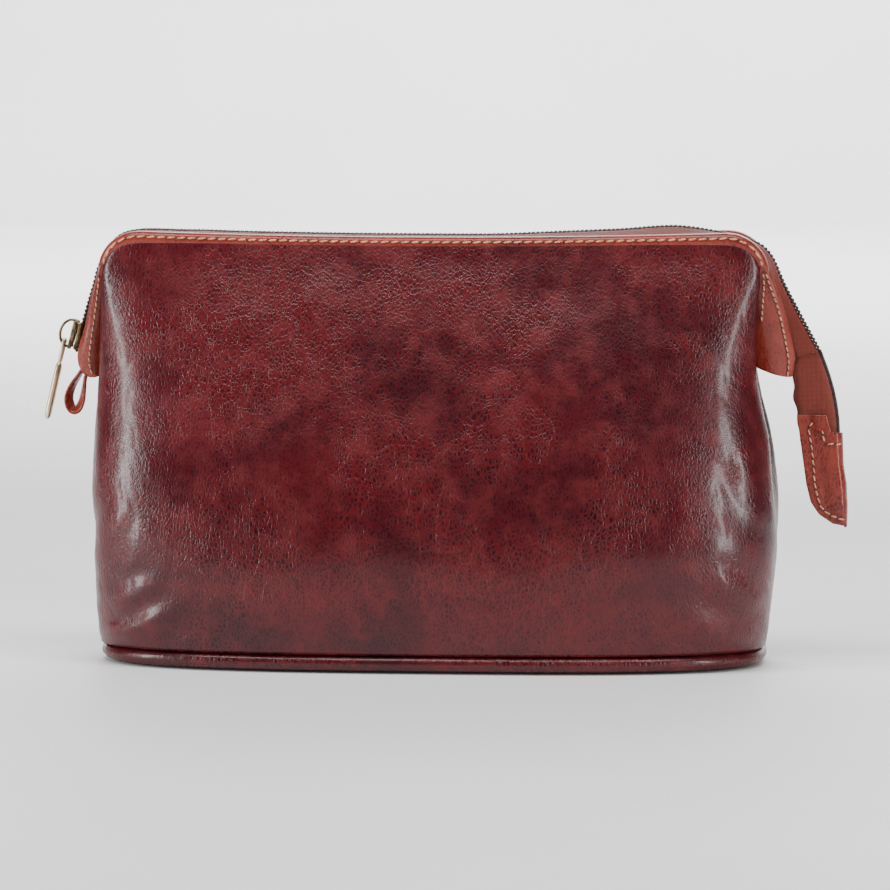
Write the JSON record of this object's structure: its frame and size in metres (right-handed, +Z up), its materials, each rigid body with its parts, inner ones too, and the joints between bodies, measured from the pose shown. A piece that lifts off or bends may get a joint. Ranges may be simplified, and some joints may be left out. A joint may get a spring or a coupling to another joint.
{
  "type": "shaving kit bag",
  "caption": "Leather shaving kit bag on a welted oval base, with a hinged frame mouth, a zip with a slider and puller, a hanging zip tail and a finger loop.",
  "frame": {"origin": "floor centre of the base, on its underside", "axes": "+X to the bag's right end as seen from the front, where the zip tail hangs, -Y to the front, +Z up"},
  "size_m": [0.3219, 0.1126, 0.1683],
  "materials": {
    "body_leather": "glossy vegetable-tanned burgundy leather, finely wrinkled",
    "trim_leather": "glossy red-brown leather, smoother",
    "stiffener": "plain board",
    "lining_cloth": "dark woven lining",
    "frame_steel": "plain drawn wire",
    "rivet_brass": "antique brass",
    "zip_tape": "woven red-brown zip tape",
    "zip_coil": "dark brown nylon coil",
    "slider_brass": "dark antique brass",
    "puller_brass": "pale polished brass"
  },
  "bodies": {
    "bag_body": {"base_panel": "body_leather", "base_board": "stiffener", "base_lining": "lining_cloth", "base_welt": "trim_leather", "front_panel_lower": "body_leather", "rear_panel_lower": "body_leather", "front_lining_lower": "lining_cloth", "rear_lining_lower": "lining_cloth", "left_hinge_tab": "trim_leather", "right_hinge_tab": "trim_leather", "left_hinge_rivet": "rivet_brass", "right_hinge_rivet": "rivet_brass", "finger_loop": "trim_leather"},
    "front_jaw": {"front_frame": "frame_steel", "front_casing": "trim_leather", "front_left_ear": "trim_leather", "front_right_ear": "trim_leather", "front_panel_upper": "body_leather", "front_lining_upper": "lining_cloth", "front_tape": "zip_tape", "front_coil": "zip_coil"},
    "rear_jaw": {"rear_frame": "frame_steel", "rear_casing": "trim_leather", "rear_left_ear": "trim_leather", "rear_right_ear": "trim_leather", "rear_panel_upper": "body_leather", "rear_lining_upper": "lining_cloth", "rear_tape": "zip_tape", "rear_coil": "zip_coil"},
    "zip_tail": {"front_tail_tape": "zip_tape", "rear_tail_tape": "zip_tape", "tail_coil": "zip_coil", "end_tab_front": "trim_leather", "end_tab_rear": "trim_leather"},
    "slider": {"slider_body": "slider_brass", "slider_bridge": "slider_brass"},
    "puller": {"puller": "puller_brass"}
  },
  "joints": [
    {"name": "front_jaw_open", "type": "hinge", "parent": "bag_body", "child": "front_jaw", "pos_m": [0, 0, 0.118], "axis": [1, 0, 0], "range_deg": [0, 70], "deforming": ["front_panel_upper", "front_lining_upper", "front_tape", "front_coil"]},
    {"name": "rear_jaw_open", "type": "hinge", "parent": "bag_body", "child": "rear_jaw", "pos_m": [0, 0, 0.118], "axis": [1, 0, 0], "range_deg": [-70, 0], "deforming": ["rear_panel_upper", "rear_lining_upper", "rear_tape", "rear_coil"]},
    {"name": "tail_swing", "type": "hinge", "parent": "bag_body", "child": "zip_tail", "pos_m": [0.1444, 0, 0.1185], "axis": [1, 0, 0], "range_deg": [-70, 70]},
    {"name": "slider_travel", "type": "slide", "parent": "bag_body", "child": "slider", "axis": [0.2669, 0, 0.9637], "range_m": [0, 0.022]},
    {"name": "puller_swing", "type": "hinge", "parent": "slider", "child": "puller", "pos_m": [-0.1475, 0, 0.1258], "axis": [0, 1, 0], "range_deg": [0, 110]}
  ],
  "couplings": [
    {"joint": "rear_jaw_open", "follows": "front_jaw_open", "ratio": -1}
  ]
}
